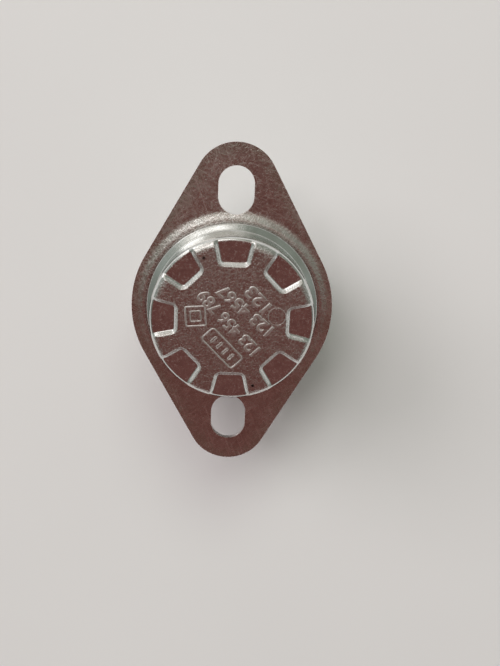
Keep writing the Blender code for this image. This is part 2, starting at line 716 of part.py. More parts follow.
def build_terminal(name, side, parent, look):
    """An L-shaped tab: a narrow foot under the base, a bend and a blade with a hole."""
    outer_face = TAB_OFFSET + TAB_SHEET / 2
    inner_face = outer_face - TAB_SHEET
    outer_bend = TAB_BEND_RADIUS + TAB_SHEET
    bend_centre = (inner_face - TAB_BEND_RADIUS, FOOT_BOTTOM - TAB_BEND_RADIUS)
    section = [(FOOT_END, FOOT_BOTTOM), (FOOT_END, FOOT_TOP)]
    section += arc(bend_centre, outer_bend, 90, 0, 5)
    section += [
        (outer_face, TAB_TIP + TAB_LEAD_LENGTH),
        (outer_face - TAB_LEAD_IN, TAB_TIP),
        (inner_face + TAB_LEAD_IN, TAB_TIP),
        (inner_face, TAB_TIP + TAB_LEAD_LENGTH),
    ]
    section += arc(bend_centre, TAB_BEND_RADIUS, 0, 90, 3)
    bm = bmesh.new()
    half = TAB_WIDTH / 2
    face = bm.faces.new([bm.verts.new((side * x, -half, z)) for x, z in section])
    lifted = bmesh.ops.extrude_face_region(bm, geom=[face])["geom"]
    moved = [item for item in lifted if isinstance(item, bmesh.types.BMVert)]
    bmesh.ops.translate(bm, verts=moved, vec=(0.0, TAB_WIDTH, 0.0))
    terminal = place(name, finish_mesh(bm, name), parent, look)

    trims = bmesh.new()
    for edge_side in (1, -1):
        ends = sorted((side * (FOOT_END - OVERRUN), side * bend_centre[0]))
        across = sorted((edge_side * FOOT_WIDTH / 2, edge_side * (half + OVERRUN)))
        add_prism(
            trims,
            rectangle(*ends, *across),
            FOOT_BOTTOM - OVERRUN,
            FOOT_TOP + OVERRUN,
        )
        wedge = [
            (edge_side * TAB_TIP_WIDTH / 2, TAB_TIP),
            (edge_side * half, TAB_TIP + TAB_TIP_TAPER),
            (edge_side * (half + OVERRUN), TAB_TIP + TAB_TIP_TAPER),
            (edge_side * (half + OVERRUN), TAB_TIP - OVERRUN),
            (edge_side * TAB_TIP_WIDTH / 2, TAB_TIP - OVERRUN),
        ]
        corner = trims.faces.new(
            [trims.verts.new((side * (inner_face - OVERRUN), y, z)) for y, z in wedge]
        )
        pulled = bmesh.ops.extrude_face_region(trims, geom=[corner])["geom"]
        pulled = [item for item in pulled if isinstance(item, bmesh.types.BMVert)]
        bmesh.ops.translate(trims, verts=pulled, vec=(side * (TAB_SHEET + 2 * OVERRUN), 0, 0))
    cut(terminal, finish_mesh(trims, name + "_trims"))

    holes = bmesh.new()
    outline = circle_outline((side * RIVET_OFFSET, 0.0), RIVET_HOLE_RADIUS, SMALL_SEGMENTS)
    add_prism(holes, outline, FOOT_BOTTOM - OVERRUN, FOOT_TOP + OVERRUN)
    blade_hole = Matrix.Translation((side * TAB_OFFSET, 0.0, TAB_TIP + TAB_HOLE_HEIGHT))
    bmesh.ops.create_cone(
        holes,
        cap_ends=True,
        segments=SMALL_SEGMENTS,
        radius1=TAB_HOLE_RADIUS,
        radius2=TAB_HOLE_RADIUS,
        depth=TAB_SHEET + 2 * OVERRUN,
        matrix=blade_hole @ Matrix.Rotation(math.pi / 2, 4, "Y"),
    )
    cut(terminal, finish_mesh(holes, name + "_holes"))


def build_rivet(name, x, top_sheet, parent, look):
    """A tubular rivet from a sheet in the chamber to the terminal's foot."""
    head_top = top_sheet + RIVET_HEAD_HEIGHT
    tail_low = FOOT_BOTTOM - RIVET_HEAD_HEIGHT
    edge = RIVET_HEAD_HEIGHT / 2
    profile = [
        (0.0, head_top),
        (RIVET_HEAD_RADIUS - edge, head_top),
        (RIVET_HEAD_RADIUS, head_top - edge),
        (RIVET_HEAD_RADIUS, top_sheet),
        (RIVET_RADIUS, top_sheet),
        (RIVET_RADIUS, FOOT_BOTTOM),
        (RIVET_HEAD_RADIUS, FOOT_BOTTOM),
        (RIVET_HEAD_RADIUS - edge / 2, tail_low + edge / 2),
        (RIVET_HEAD_RADIUS - edge, tail_low),
        (RIVET_BORE_RADIUS + edge, tail_low),
        (RIVET_BORE_RADIUS, tail_low + edge),
        (RIVET_BORE_RADIUS, tail_low + RIVET_BORE_DEPTH),
        (0.0, tail_low + RIVET_BORE_DEPTH),
    ]
    place(name, turned(name, profile, SMALL_SEGMENTS, (x, 0.0)), parent, look)


def build_button(parent, look):
    """The button: a nub under the arm, a flange that keeps it in, and the pressed end."""
    nub_top = ARM_LEDGE - BUTTON_NUB_GAP
    flange_low = CHAMBER_FLOOR + PIN_TRAVEL + BUTTON_FLOOR_GAP
    flange_top = flange_low + BUTTON_FLANGE_HEIGHT
    end = BASE_BACK - BOSS_HEIGHT - BUTTON_PROUD
    rounding = (BUTTON_RADIUS - BUTTON_EDGE_RADIUS, end + BUTTON_EDGE_RADIUS)
    profile = [
        (0.0, nub_top),
        (BUTTON_NUB_RADIUS, nub_top),
        (BUTTON_NUB_RADIUS, flange_top),
        (BUTTON_FLANGE_RADIUS, flange_top),
        (BUTTON_FLANGE_RADIUS, flange_low),
        (BUTTON_RADIUS, flange_low),
    ]
    profile += arc(rounding, BUTTON_EDGE_RADIUS, 0, -90, 4) + [(0.0, end)]
    place("reset_button", turned("reset_button", profile, DISC_SEGMENTS), parent, look)


def main():
    clear_scene()
    aluminium = material("aluminium", (0.78, 0.79, 0.78), 0.3, 1.0)
    plated_steel = material("plated_steel", (0.72, 0.70, 0.67), 0.28, 1.0)
    bimetal = material("bimetal", (0.55, 0.52, 0.48), 0.4, 1.0)
    phenolic = material("phenolic", (0.025, 0.023, 0.022), 0.45, 0.0)
    ceramic = material("ceramic", (0.86, 0.84, 0.80), 0.5, 0.0)
    bronze = material("spring_bronze", (0.72, 0.45, 0.22), 0.35, 1.0)
    brass = material("brass", (0.80, 0.62, 0.32), 0.32, 1.0)
    silver = material("contact_silver", (0.90, 0.89, 0.86), 0.3, 1.0)
    tinned = material("tinned_brass", (0.76, 0.74, 0.70), 0.3, 1.0)
    red = material("button_plastic", (0.55, 0.035, 0.03), 0.4, 0.0)

    frame = axis_empty("thermostat", (0.0, 0.0, 0.0))
    pin_axis = axis_empty("transfer_pin_axis", (0.0, 0.0, 0.0), frame)
    bend_at = Vector((HINGE_LINE, 0.0, ARM_TOP - ARM_SHEET / 2))
    arm_axis = axis_empty("contact_arm_axis", bend_at, frame)
    button_axis = axis_empty("reset_button_axis", (0.0, 0.0, 0.0), frame)

    build_cap(frame, aluminium)
    build_bracket(frame, plated_steel)
    build_disc(frame, bimetal)
    build_guide(frame, phenolic)
    build_base(frame, phenolic)
    build_pin(pin_axis, ceramic)
    build_arm(arm_axis, bronze)
    build_moving_contact(arm_axis, silver)
    build_fixed_side(frame, brass, silver)
    build_terminal("terminal_a", -1, frame, tinned)
    build_terminal("terminal_b", 1, frame, tinned)
    build_rivet("rivet_a", -RIVET_OFFSET, ARM_TOP, frame, tinned)
    build_rivet("rivet_b", RIVET_OFFSET, STRIP_LEDGE + STRIP_SHEET, frame, tinned)
    build_button(button_axis, red)


main()
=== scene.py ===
"""Looks of the safety thermostat: finished cap, bracket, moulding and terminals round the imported
frame, on a plain pale table under soft studio light. Lengths are metres, and MM turns millimetres
into them."""

import math

import bpy
from mathutils import Matrix, Vector


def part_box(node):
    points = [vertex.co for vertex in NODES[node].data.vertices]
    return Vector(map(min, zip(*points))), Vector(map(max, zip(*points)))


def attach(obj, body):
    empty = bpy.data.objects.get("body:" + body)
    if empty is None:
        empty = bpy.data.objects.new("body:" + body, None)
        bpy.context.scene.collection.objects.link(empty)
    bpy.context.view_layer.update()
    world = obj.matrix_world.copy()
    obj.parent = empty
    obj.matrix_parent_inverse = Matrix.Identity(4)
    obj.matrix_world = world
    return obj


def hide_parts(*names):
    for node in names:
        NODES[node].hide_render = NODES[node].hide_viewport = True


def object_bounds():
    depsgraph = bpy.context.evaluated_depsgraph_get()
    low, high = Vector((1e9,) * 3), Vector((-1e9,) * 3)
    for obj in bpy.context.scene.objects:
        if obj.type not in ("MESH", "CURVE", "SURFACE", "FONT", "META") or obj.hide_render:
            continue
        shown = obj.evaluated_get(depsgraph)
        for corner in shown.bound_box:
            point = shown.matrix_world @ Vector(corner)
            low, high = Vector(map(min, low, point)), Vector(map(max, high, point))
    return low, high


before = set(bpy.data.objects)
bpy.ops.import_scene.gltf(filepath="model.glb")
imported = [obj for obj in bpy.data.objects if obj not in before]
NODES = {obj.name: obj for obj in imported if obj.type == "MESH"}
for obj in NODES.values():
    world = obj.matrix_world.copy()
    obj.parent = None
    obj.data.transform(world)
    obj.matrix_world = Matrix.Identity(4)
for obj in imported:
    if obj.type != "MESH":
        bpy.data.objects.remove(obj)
cad_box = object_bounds()

MM = 0.001

# Sheets that the cap and the bracket are pressed from
CAP_SHEET = 0.5 * MM
BRACKET_SHEET = 0.6 * MM

# Heights of the frame that the pieces are set against
FLOOR_LEVEL = cad_box[0][2]
PLATE_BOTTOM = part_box("mounting_bracket")[0][2]
PLATE_TOP = PLATE_BOTTOM + BRACKET_SHEET
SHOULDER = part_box("sensing_cap")[0][2] + CAP_SHEET

# Distances under which points are one, and under which a point lies on a surface
MERGE_DISTANCE = 0.0005 * MM
ON_LEVEL = 0.001 * MM
ON_FACE = 0.002 * MM

# Cap, outside
MARK_HEIGHT = 0.08 * MM
FACE_LEVEL = -MARK_HEIGHT
CAP_RADIUS = 8.0 * MM
EDGE_WIDTH = 1.0 * MM
EDGE_DEPTH = 0.6 * MM
NOTCHES = 8
NOTCH_DEPTH = 0.35 * MM
NOTCH_INNER = 5.6 * MM
NOTCH_INNER_HALF = 1.14 * MM
NOTCH_SIDE_ANGLE = math.radians(12.7)
NOTCH_WALL = 0.44 * MM
NOTCH_CORNER = 0.16 * MM
NOTCH_EASE = 0.16
NOTCH_RIM_RADIUS = 0.4 * MM
NOTCH_REACH = 5.0 * MM
FOOT_LEVEL = PLATE_TOP + 0.4 * MM
FOOT_CONE = 0.5 * MM
FOOT_RISE = 0.25 * MM
FOOT_FILLET = 0.12 * MM
FOOT_ROLL = 0.16 * MM
BEAD_RADIUS = 8.7 * MM
BEAD_ROUNDING = 0.09 * MM
SEAT_LEVEL = PLATE_TOP + 0.1 * MM
BACK_BEAD_TOP = PLATE_BOTTOM + 0.18 * MM
BACK_BEAD_RADIUS = 8.38 * MM
BACK_BEAD_ROUNDING = 0.16 * MM
BACK_BEAD_TOE = 0.06 * MM
BACK_BEAD_TOE_DROP = 0.42 * MM
BACK_BEAD_DROP = 0.55 * MM
CRIMP_RADIUS = 0.45 * MM
CRIMP_MOUTH = 6.97 * MM
CRIMP_BEVEL = 0.1 * MM

# Cap, inside: radii of the wall and of the undersides of notches and face, and their levels
WALL_INNER = 7.5 * MM
WALL_INNER_TOP = -1.3 * MM
NOTCH_UNDER_OUTER = 7.2 * MM
NOTCH_UNDER_INNER = 5.25 * MM
NOTCH_UNDERSIDE = -0.86 * MM
FACE_UNDER_OUTER = 5.0 * MM
FACE_UNDERSIDE = -0.56 * MM

# Rings of points of the cap, in millimetres: across the face, close together where the notches
# start, on to the rounded edge, and round the cap
FACE_RINGS = (0.0, 0.6, 1.6, 2.6, 3.6, 4.5)
NOTCH_RINGS = 26
NOTCH_RING_STEP = 0.03
OUTER_RINGS = (6.1, 6.4, 6.7)
CAP_STEPS = 720

# Where the cap's finishes fade, in millimetres: heights of the face's edge, of the underside and
# top of the floors' band, and radii of the floors' outer end
FACE_FADE = (-0.36, -0.2)
FLOOR_LOW_FADE = (-0.47, -0.45)
FLOOR_HIGH_FADE = (-0.41, -0.39)
FLOOR_END_FADE = (7.7, 7.85)

# Bracket
HALF_WIDTH = 10.25 * MM
END_RADIUS = 4.16 * MM
END_CENTRE = 16.55 * MM - END_RADIUS
SLOT_CENTRE = 11.9 * MM
SLOT_WIDTH = 3.6 * MM
SLOT_LENGTH = 4.8 * MM
FLARE_RADIUS = 10.05 * MM
FLARE_BLEND = 0.5 * MM
LIP_RADIUS = 8.9 * MM
LIP_WIDTH = 0.08 * MM
LIP_RISE = 0.25 * MM
BORE_RADIUS = 8.06 * MM
BACK_LAND = 0.6 * MM
RING_STEPS = 288
EDGE_ROLL = 0.07 * MM
CUTTER_DROP = 0.3 * MM
CUTTER_HEIGHT = 1.6 * MM

# Small dark pits in the face, in millimetres
PIT_PLACES = ((-2.87, 5.95, -0.08), (2.27, -6.51, -0.08))

# Plain raised marks on the face. Each row: figures, start and end of the row in millimetres
MARK_ROWS = [
    ("123 456 789", (2.45, -3.13), (-3.12, 2.6)),
    ("123 4567", (3.71, -1.07), (-1.34, 3.16)),
    ("123", (3.31, 1.19), (1.41, 3.17)),
]
FIGURE_HEIGHT = 1.35 * MM
FIGURE_THINNING = -0.02
FIGURE_ROUNDING = 0.055
FIGURE_MERGE = 0.0005
STROKE_RADIUS = 0.085 * MM

# Plain frames beside the figures, in millimetres and degrees. Each row: name, centre, half
# length, half width, corner, heading, and share of the stroke's radius
FRAMES = [
    ("face_square", (-3.5, 0.3), 0.95, 0.95, 0.12, 5, 1.0),
    ("face_square_inner", (-3.5, 0.3), 0.5, 0.5, 0.08, 5, 0.8),
    ("face_plate", (-0.85, -2.8), 2.1, 0.8, 0.3, -45, 1.0),
]

# Bars along the last frame: places, then half length, half width and corner, in millimetres
BAR_STEPS = (-1.2, -0.4, 0.4, 1.2)
BAR_SHAPE = (0.1, 0.36, 0.08)
BAR_STROKE = 0.7

# A faint ring, in millimetres, with its share of the stroke's radius
RING_CENTRE = (4.3, 0.55)
RING_RADIUS = 0.85
RING_STROKE = 0.35

# Frame nodes that get a finished copy. Each row: node, body, slot, finish, and width in
# millimetres of its rounded edges
REFINED = [
    ("base_housing", "housing", "phenolic", "moulding", 0.12),
    ("disc_guide", "housing", "phenolic", "moulding", 0.06),
    ("terminal_a", "housing", "terminal_brass", "tab", 0.05),
    ("terminal_b", "housing", "terminal_brass", "tab", 0.05),
    ("rivet_a", "housing", "rivet_brass", "rivet", 0.08),
    ("rivet_b", "housing", "rivet_brass", "rivet", 0.08),
    ("reset_button", "button", "button_plastic", "button", 0.05),
    ("transfer_pin", "pin", "pin_ceramic", "ceramic", 0.05),
    ("contact_arm", "arm", "arm_bronze", "bronze", 0.03),
    ("moving_contact", "arm", "contact_silver", "silver", 0.05),
    ("fixed_contact_strip", "housing", "strip_brass", "brass", 0.04),
    ("fixed_contact", "housing", "contact_silver", "silver", 0.05),
]

# The room that the metal mirrors
DIM_WALL = (0.15, 0.165, 0.145)
PALE_WALL = (0.33, 0.36, 0.33)
CEILING = (0.135, 0.058, 0.05)
WINDOW = (0.60, 0.575, 0.52)
DARK_SIDE = (0.22, 0.24, 0.205)
BACKDROP = (0.78, 0.775, 0.76)
LAMP_GLOW = (2.2, 2.16, 2.12)
ROOM_STRENGTH = 0.55

# Bright spots in the room: azimuth, elevation, and the cosines at which a spot starts and is full
LAMP_SPOTS = ((105, 51, 0.983, 0.993), (127, 52, 0.98, 0.991), (130, 21, 0.976, 0.988))

# Lamps: name, azimuth, elevation, power in watts and colour
LAMPS = [
    ("key_light", 124, 56, 18.0, (1.0, 0.955, 0.94)),
    ("low_light", 147, 33, 17.0, (1.0, 0.955, 0.94)),
    ("window_light", 86, 46, 13.5, (0.90, 1.0, 0.87)),
]
LAMP_DISTANCE = 2.0
LAMP_SIZE = 1.0
TABLE_SIZE = 2.4

# The camera, fitted to the photograph: focal length and height in pixels, place in millimetres
FOCAL_PIXELS = 781.016
PICTURE_HEIGHT = 666
CAMERA_RIGHT = Vector((0.99887, 0.04304, 0.02005))
CAMERA_BACK = Vector((-0.03064, 0.26169, 0.96467))
CAMERA_PLACE = Vector((-0.518, 18.522, 72.489))
SENSOR_WIDTH = 36.0


# Nodes written as expressions


class Wire:
    """One output socket. Sums, products and powers of wires and numbers add their Math nodes."""

    def __init__(self, graph, socket):
        self.graph = graph
        self.socket = socket

    def maths(self, operation, *values):
        return self.graph.node("ShaderNodeMath", {"operation": operation}, values)

    def __add__(self, other):
        return self.maths("ADD", self, other)

    def __radd__(self, other):
        return self.maths("ADD", other, self)

    def __sub__(self, other):
        return self.maths("SUBTRACT", self, other)

    def __rsub__(self, other):
        return self.maths("SUBTRACT", other, self)

    def __mul__(self, other):
        return self.maths("MULTIPLY", self, other)

    def __rmul__(self, other):
        return self.maths("MULTIPLY", other, self)

    def __pow__(self, other):
        return self.maths("POWER", self, other)

    def clamped(self):
        return self.maths("MAXIMUM", self.maths("MINIMUM", self, 1.0), 0.0)

    def between(self, low, high):
        """0 below low and 1 above high, with a soft step between them."""
        return self.graph.node(
            "ShaderNodeMapRange", {"interpolation_type": "SMOOTHSTEP"}, (self, low, high, 0.0, 1.0)
        )


class Graph:
    """A node tree, and the nodes that the finishes here are written with."""

    def __init__(self, tree):
        self.tree = tree

    def node(self, kind, settings=None, values=(), output=0):
        """Adds a node. Its settings come first, then the values or wires of its sockets, by
        order or by name."""
        made = self.tree.nodes.new(kind)
        for name, value in (settings or {}).items():
            setattr(made, name, value)
        named = values.items() if isinstance(values, dict) else enumerate(values)
        for key, value in named:
            if isinstance(value, Wire):
                self.tree.links.new(value.socket, made.inputs[key])
            else:
                made.inputs[key].default_value = value
        return Wire(self, made.outputs[output])

    def place(self):
        """The point on the object, in millimetres."""
        point = self.node("ShaderNodeTexCoord", output="Object")
        return self.node(
            "ShaderNodeVectorMath", {"operation": "SCALE"}, {"Vector": point, "Scale": 1 / MM}
        )

    def stretched(self, point, factors):
        return self.node("ShaderNodeVectorMath", {"operation": "MULTIPLY"}, (point, factors))

    def turned(self, point, angle):
        return self.node(
            "ShaderNodeVectorRotate", {"rotation_type": "Z_AXIS"}, {"Vector": point, "Angle": angle}
        )

    def parts(self, point):
        split = self.tree.nodes.new("ShaderNodeSeparateXYZ")
        self.tree.links.new(point.socket, split.inputs[0])
        return [Wire(self, output) for output in split.outputs]

    def vector(self, x, y, z):
        return self.node("ShaderNodeCombineXYZ", None, (x, y, z))

    def noise(self, point, scale, detail=3.0, roughness=0.55, distortion=0.0):
        values = {
            "Vector": point,
            "Scale": scale,
            "Detail": detail,
            "Roughness": roughness,
            "Distortion": distortion,
        }
        return self.node("ShaderNodeTexNoise", None, values)

    def cells(self, point, scale):
        return self.node(
            "ShaderNodeTexVoronoi", {"feature": "F1"}, {"Vector": point, "Scale": scale}
        )

    def mixed(self, factor, first, second):
        """A colour between two colours."""
        values = {0: factor, 6: self.colour(first), 7: self.colour(second)}
        return self.node("ShaderNodeMix", {"data_type": "RGBA"}, values, output=2)

    def colour(self, value):
        return value if isinstance(value, Wire) else (*value, 1.0)

    def bump(self, height, distance):
        values = {"Strength": 1.0, "Distance": distance, "Height": height}
        return self.node("ShaderNodeBump", None, values)


def finish(name, colour, roughness, metallic=0.0, normal=None):
    """A material. Colour, roughness and normal may be functions of its graph that give wires."""
    made = bpy.data.materials.new(name)
    made.use_nodes = True
    graph = Graph(made.node_tree)
    shader = made.node_tree.nodes["Principled BSDF"]
    built = {"Base Color": colour, "Roughness": roughness, "Normal": normal}
    for socket, value in built.items():
        if callable(value):
            value = value(graph)
        if isinstance(value, Wire):
            made.node_tree.links.new(value.socket, shader.inputs[socket])
        elif value is not None:
            shader.inputs[socket].default_value = value
    shader.inputs["Metallic"].default_value = metallic
    return made


# Shared patterns


def scratches(graph, point, angle, density, seed):
    """Long thin marks in one direction: the crests of a noise stretched along it."""
    along = graph.turned(point, angle)
    shifted = graph.node("ShaderNodeVectorMath", {"operation": "ADD"}, (along, (seed, seed, 0.0)))
    line = graph.noise(graph.stretched(shifted, (0.35, 9.0, 1.0)), density, 2.0, 0.5)
    return line.between(0.6, 0.69)


def all_scratches(graph, point):
    """Scratches in four directions, each with its own density and seed."""
    kinds = ((0.5, 1.0, 3.0), (2.1, 1.3, 17.0), (1.2, 0.8, 41.0), (-0.6, 1.1, 73.0))
    return sum(scratches(graph, point, *kind) for kind in kinds).clamped()


def cap_height(graph):
    """Relief of the drawn sheet: fine grain, little pits and soft hammering."""
    point = graph.place()
    grain = graph.noise(point, 5.0, 3.0, 0.6).between(0.44, 0.6)
    soft = graph.noise(point, 1.1, 2.0, 0.5)
    pits = 1.0 - graph.cells(point, 2.3).between(0.02, 0.13)
    return grain * 0.8 + soft * 0.7 - pits * 0.3


def cap_face_mask(graph):
    """1 on the face and its rounded edge, 0 on the wall and on the floors of the notches."""
    height = graph.parts(graph.place())[2]
    return height.between(*FACE_FADE)


def cap_floor_mask(graph):
    """1 on the floors of the notches, up to where they roll over the rim."""
    x, y, height = graph.parts(graph.place())
    radius = (x * x + y * y) ** 0.5
    level = height.between(*FLOOR_LOW_FADE) * (1.0 - height.between(*FLOOR_HIGH_FADE))
    return level * (1.0 - radius.between(*FLOOR_END_FADE))


def floor_flecks(graph):
    """Small bright rubbed spots on the floors."""
    return graph.noise(graph.place(), 4.0, 4.0, 0.75).between(0.52, 0.62)


def draw_lines(graph):
    """Faint lines up the wall from drawing, by angle round the cap."""
    x, y, z = graph.parts(graph.place())
    angle = x.maths("ARCTAN2", y, x)
    return graph.noise(graph.vector(angle * 26.0, z * 0.18, 0.0), 1.0, 3.0, 0.6)


def cap_colour(graph):
    """Bright wall, duller speckled face with two pits, stained floors with rubbed spots. The face's
    dull reddish tone is partly the duller metal and partly a painted reflection of the dim red
    ceiling.
    """
    point = graph.place()
    tarnish = graph.noise(point, 0.55, 4.0, 0.6).between(0.35, 0.7)
    speckle = graph.noise(point, 10.0, 6.0, 0.8).between(0.4, 0.66)
    cloud = graph.noise(point, 1.3, 5.0, 0.7).between(0.35, 0.65)
    base = graph.mixed(tarnish, (0.80, 0.81, 0.80), (0.70, 0.70, 0.68))
    # Dull face tone: partly a duller metal, partly a painted reflection, its reddish cast standing in
    # for the dim red ceiling mirrored in the face
    dull = graph.mixed(cloud, (0.56, 0.51, 0.49), (0.66, 0.65, 0.63))
    face = graph.mixed(speckle, dull, (0.86, 0.85, 0.83))
    whole = graph.mixed(cap_face_mask(graph) * 0.8, base, face)
    for spot in PIT_PLACES:
        away = graph.node(
            "ShaderNodeVectorMath", {"operation": "DISTANCE"}, (point, spot), output=1
        )
        whole = graph.mixed(away.between(0.09, 0.2), (0.05, 0.045, 0.045), whole)
    stained = graph.mixed(cloud, (0.68, 0.64, 0.64), (0.80, 0.79, 0.78))
    stained = graph.mixed(floor_flecks(graph) * 0.8, stained, (0.96, 0.95, 0.93))
    marks = all_scratches(graph, point) * cap_face_mask(graph)
    whole = graph.mixed(marks * 0.4, whole, (0.97, 0.96, 0.94))
    return graph.mixed(cap_floor_mask(graph), whole, stained)


def cap_roughness(graph):
    point = graph.place()
    scuffed = graph.noise(point, 3.0, 5.0, 0.75).between(0.35, 0.7) * 0.16 + 0.2
    wall = draw_lines(graph).between(0.3, 0.75) * 0.1 + 0.13
    face = cap_face_mask(graph)
    mixed = scuffed * face + wall * (1.0 - face)
    floor = cap_floor_mask(graph)
    return mixed * (1.0 - floor) + floor * (0.16 + floor_flecks(graph) * 0.2)


def cap_normal(graph):
    floor = cap_floor_mask(graph)
    face = cap_face_mask(graph)
    streaks = draw_lines(graph) * (1.0 - face) * (1.0 - floor) * 0.2
    strength = face * 0.85 + floor * 0.1 + 0.15
    return graph.bump(cap_height(graph) * strength + streaks, 0.012 * MM)


def plate_mottle(graph):
    point = graph.place()
    large = graph.noise(point, 0.32, 5.0, 0.6, 0.6)
    small = graph.noise(point, 2.6, 4.0, 0.65)
    return large * 0.6 + small * 0.4


def plate_edge_mask(graph):
    """0 in the middle of the plate, rising to 1 near its outline, and 0 on the cut edge itself."""
    x, y, _ = graph.parts(graph.place())
    x = x.maths("ABSOLUTE", x)
    y = y.maths("ABSOLUTE", y)
    lean = math.asin((HALF_WIDTH - END_RADIUS) / END_CENTRE)
    past_end = y - END_CENTRE / MM
    flank = x * math.cos(lean) + y * math.sin(lean) - HALF_WIDTH / MM
    end = (x * x + past_end * past_end) ** 0.5 - END_RADIUS / MM
    middle = (x * x + y * y) ** 0.5 - HALF_WIDTH / MM
    at_end = (past_end - x * math.tan(lean)).between(-0.05, 0.05)
    at_middle = (x * math.tan(lean) - y).between(-0.05, 0.05)
    inside = flank * (1.0 - at_end) * (1.0 - at_middle) + end * at_end + middle * at_middle
    wander = graph.noise(graph.place(), 0.6, 4.0, 0.65) * 1.2 - 0.6
    return (inside + wander).between(-1.7, -0.1) * (1.0 - inside.between(-0.09, -0.05))


def plate_colour(graph):
    """Mottled plating, greyer towards the outline, with blotches, flecks and light scratches. The
    mottle is the plating's own, but its reddish tone is a painted reflection of the dim red ceiling.
    """
    mottle = plate_mottle(graph).between(0.36, 0.62)
    speckle = graph.noise(graph.place(), 6.5, 3.0, 0.7).between(0.6, 0.74)
    fine = graph.noise(graph.place(), 4.0, 4.0, 0.7).between(0.36, 0.66)
    # The mottle is the plating's own pattern; its reddish tone is a painted reflection of the dim red
    # ceiling
    worn = graph.mixed(mottle, (0.58, 0.50, 0.48), (0.74, 0.74, 0.71))
    worn = graph.mixed(fine * 0.6, worn, (0.80, 0.76, 0.73))
    worn = graph.mixed(plate_edge_mask(graph) * 0.7, worn, (0.69, 0.77, 0.69))
    worn = graph.mixed(speckle * 0.5, worn, (0.88, 0.86, 0.83))
    blotch = graph.noise(graph.place(), 0.9, 5.0, 0.75, 0.4).between(0.5, 0.62)
    worn = graph.mixed(blotch * 0.55, worn, (0.87, 0.88, 0.87))
    flecks = graph.noise(graph.place(), 9.0, 4.0, 0.8).between(0.6, 0.7)
    worn = graph.mixed(flecks * 0.4, worn, (0.40, 0.35, 0.34))
    return graph.mixed(all_scratches(graph, graph.place()) * 0.75, worn, (0.98, 0.95, 0.93))


def plate_roughness(graph):
    mottle = plate_mottle(graph).between(0.36, 0.66)
    marks = all_scratches(graph, graph.place())
    fine = graph.noise(graph.place(), 3.0, 4.0, 0.7).between(0.4, 0.66)
    return mottle * 0.08 + fine * 0.08 + 0.17 + marks * 0.06 + plate_edge_mask(graph) * 0.04


def plate_normal(graph):
    point = graph.place()
    grain = graph.noise(point, 4.0, 3.0, 0.6).between(0.4, 0.62)
    waves = graph.noise(point, 0.5, 2.0, 0.5)
    marks = all_scratches(graph, point)
    return graph.bump(grain * 0.6 + waves - marks * 0.12, 0.01 * MM)


def rolled_colour(first, second, scale=1.2):
    def colour(graph):
        patches = graph.noise(graph.place(), scale, 4.0, 0.6).between(0.35, 0.7)
        return graph.mixed(patches, first, second)

    return colour


def rolled_roughness(low, spread):
    def roughness(graph):
        point = graph.stretched(graph.place(), (1.0, 1.0, 0.12))
        return graph.noise(point, 7.0, 4.0, 0.65).between(0.3, 0.75) * spread + low

    return roughness


def rolled_normal(depth):
    def normal(graph):
        point = graph.place()
        lines = graph.noise(graph.stretched(point, (1.0, 1.0, 0.08)), 9.0, 3.0, 0.6)
        return graph.bump(lines + graph.noise(point, 1.0, 2.0) * 1.5, depth)

    return normal


def grained_normal(depth, scale=11.0):
    def normal(graph):
        point = graph.place()
        grain = graph.noise(point, scale, 4.0, 0.7)
        return graph.bump(grain + graph.noise(point, 0.8, 2.0), depth)

    return normal


def grained_roughness(low, spread, scale=2.0):
    def roughness(graph):
        return graph.noise(graph.place(), scale, 4.0, 0.6).between(0.3, 0.7) * spread + low

    return roughness


